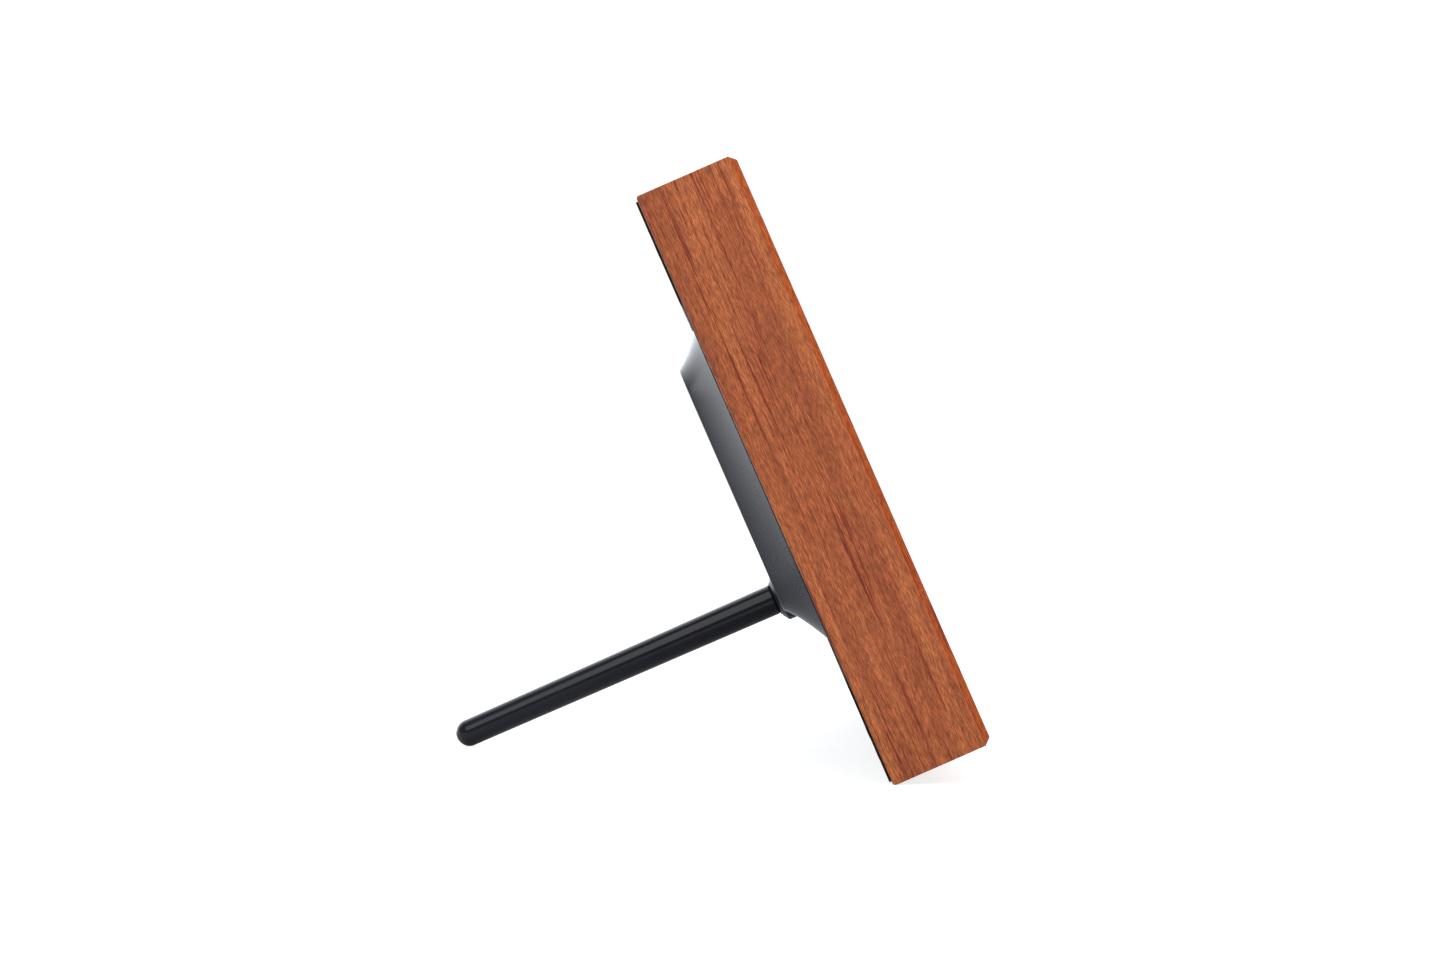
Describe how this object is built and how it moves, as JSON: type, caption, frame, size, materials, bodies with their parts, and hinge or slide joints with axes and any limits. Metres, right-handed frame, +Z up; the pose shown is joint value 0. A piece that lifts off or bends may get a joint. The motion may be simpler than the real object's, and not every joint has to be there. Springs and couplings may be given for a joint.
{
  "type": "digital photo frame",
  "caption": "Leaning wooden digital photo frame: mitred cherry rails, glass, mat and screen, black back with a coved electronics housing, and a straight screw-in leg.",
  "frame": {"origin": "centre of the footprint's bounding box, on the surface that the frame stands on", "axes": "+X across the picture, to the right seen from the front; -Y is the side that the picture faces; +Z up"},
  "size_m": [0.272, 0.1709, 0.1857],
  "materials": {
    "cherry_wood": "satin lacquered cherry veneer, grain along each rail",
    "black_plastic": "fine-textured black ABS",
    "housing_plastic": "satin charcoal ABS",
    "socket_plastic": "satin near-black nylon",
    "button_plastic": "satin black ABS",
    "black_leg": "satin black paint",
    "clear_glass": "clear float glass",
    "mat_card": "ivory mat card",
    "screen_glass": "dark polarised screen, switched off",
    "diffuser": "milky acrylic",
    "reflector": "white film",
    "foam": "closed-cell foam",
    "rubber": "matte rubber",
    "plated_steel": "zinc-plated sheet",
    "screw_steel": "zinc-plated",
    "black_screw": "black oxide",
    "insert_brass": "turned brass",
    "board_green": "solder mask over glass-fibre board",
    "chip_black": "moulded epoxy",
    "shield_metal": "tinned sheet",
    "sink_aluminium": "extruded, clear anodised",
    "port_plastic": "black nylon",
    "ribbon_film": "amber polyimide",
    "wire_black": "PVC sleeve",
    "speaker_plastic": "ABS",
    "speaker_cone": "treated paper",
    "magnet": "nickel-plated ferrite"
  },
  "bodies": {
    "frame": {"frame_rail_left": "cherry_wood", "frame_rail_right": "cherry_wood", "frame_rail_top": "cherry_wood", "frame_rail_bottom": "cherry_wood", "back_panel": "black_plastic", "lcd_carrier": "black_plastic", "rear_housing": "housing_plastic", "leg_socket": "socket_plastic", "front_glass": "clear_glass", "mat_board": "mat_card", "lcd_cell": "screen_glass", "diffuser_sheets": "diffuser", "light_guide": "diffuser", "reflector_sheet": "reflector", "lcd_foam_strips": "foam", "lcd_bezel": "plated_steel", "lcd_tray": "plated_steel", "chassis_plate": "plated_steel", "keyhole_plate_left": "plated_steel", "keyhole_plate_right": "plated_steel", "chassis_screws": "screw_steel", "keyhole_screws": "screw_steel", "speaker_screws": "screw_steel", "board_screws": "screw_steel", "housing_screws": "screw_steel", "socket_screws": "screw_steel", "corner_nails": "screw_steel", "back_panel_screws": "black_screw", "leg_insert": "insert_brass", "main_board": "board_green", "lcd_driver_board": "board_green", "led_bar": "board_green", "wifi_antenna": "board_green", "processor": "chip_black", "memory_chips": "chip_black", "storage_chip": "chip_black", "wifi_module": "shield_metal", "usb_socket": "shield_metal", "card_slot": "shield_metal", "heat_sink": "sink_aluminium", "dc_jack": "port_plastic", "speaker_sockets": "port_plastic", "ribbon_socket": "port_plastic", "tact_switches": "port_plastic", "lcd_ribbon": "ribbon_film", "speaker_lead_left": "wire_black", "speaker_lead_right": "wire_black", "antenna_lead": "wire_black", "speaker_left_basket": "speaker_plastic", "speaker_right_basket": "speaker_plastic", "speaker_left_cone": "speaker_cone", "speaker_right_cone": "speaker_cone", "speaker_left_magnet": "magnet", "speaker_right_magnet": "magnet"},
    "washer": {"leg_washer": "rubber"},
    "leg": {"leg_rod": "black_leg", "leg_stud": "screw_steel"},
    "power_button": {"power_button": "button_plastic"},
    "volume_down_button": {"volume_down_button": "button_plastic"},
    "volume_up_button": {"volume_up_button": "button_plastic"}
  },
  "joints": [
    {"name": "leg_travel", "type": "slide", "parent": "frame", "child": "washer", "axis": [0, 0.916, -0.4011], "range_m": [0, 0.008]},
    {"name": "leg_turn", "type": "hinge", "parent": "washer", "child": "leg", "pos_m": [0, -0.02249, 0.04988], "axis": [0, 0.916, -0.4011], "range_deg": [0, 2880]},
    {"name": "power_button_press", "type": "slide", "parent": "frame", "child": "power_button", "axis": [0, -0.916, 0.4011], "range_m": [0, 0.0004], "stiffness_N_per_m": 1500, "springref_m": -0.0005},
    {"name": "volume_down_button_press", "type": "slide", "parent": "frame", "child": "volume_down_button", "axis": [0, -0.916, 0.4011], "range_m": [0, 0.0004], "stiffness_N_per_m": 1500, "springref_m": -0.0005},
    {"name": "volume_up_button_press", "type": "slide", "parent": "frame", "child": "volume_up_button", "axis": [0, -0.916, 0.4011], "range_m": [0, 0.0004], "stiffness_N_per_m": 1500, "springref_m": -0.0005}
  ],
  "couplings": [
    {"joint": "leg_turn", "follows": "leg_travel", "rad_per_m": 6283.2}
  ]
}
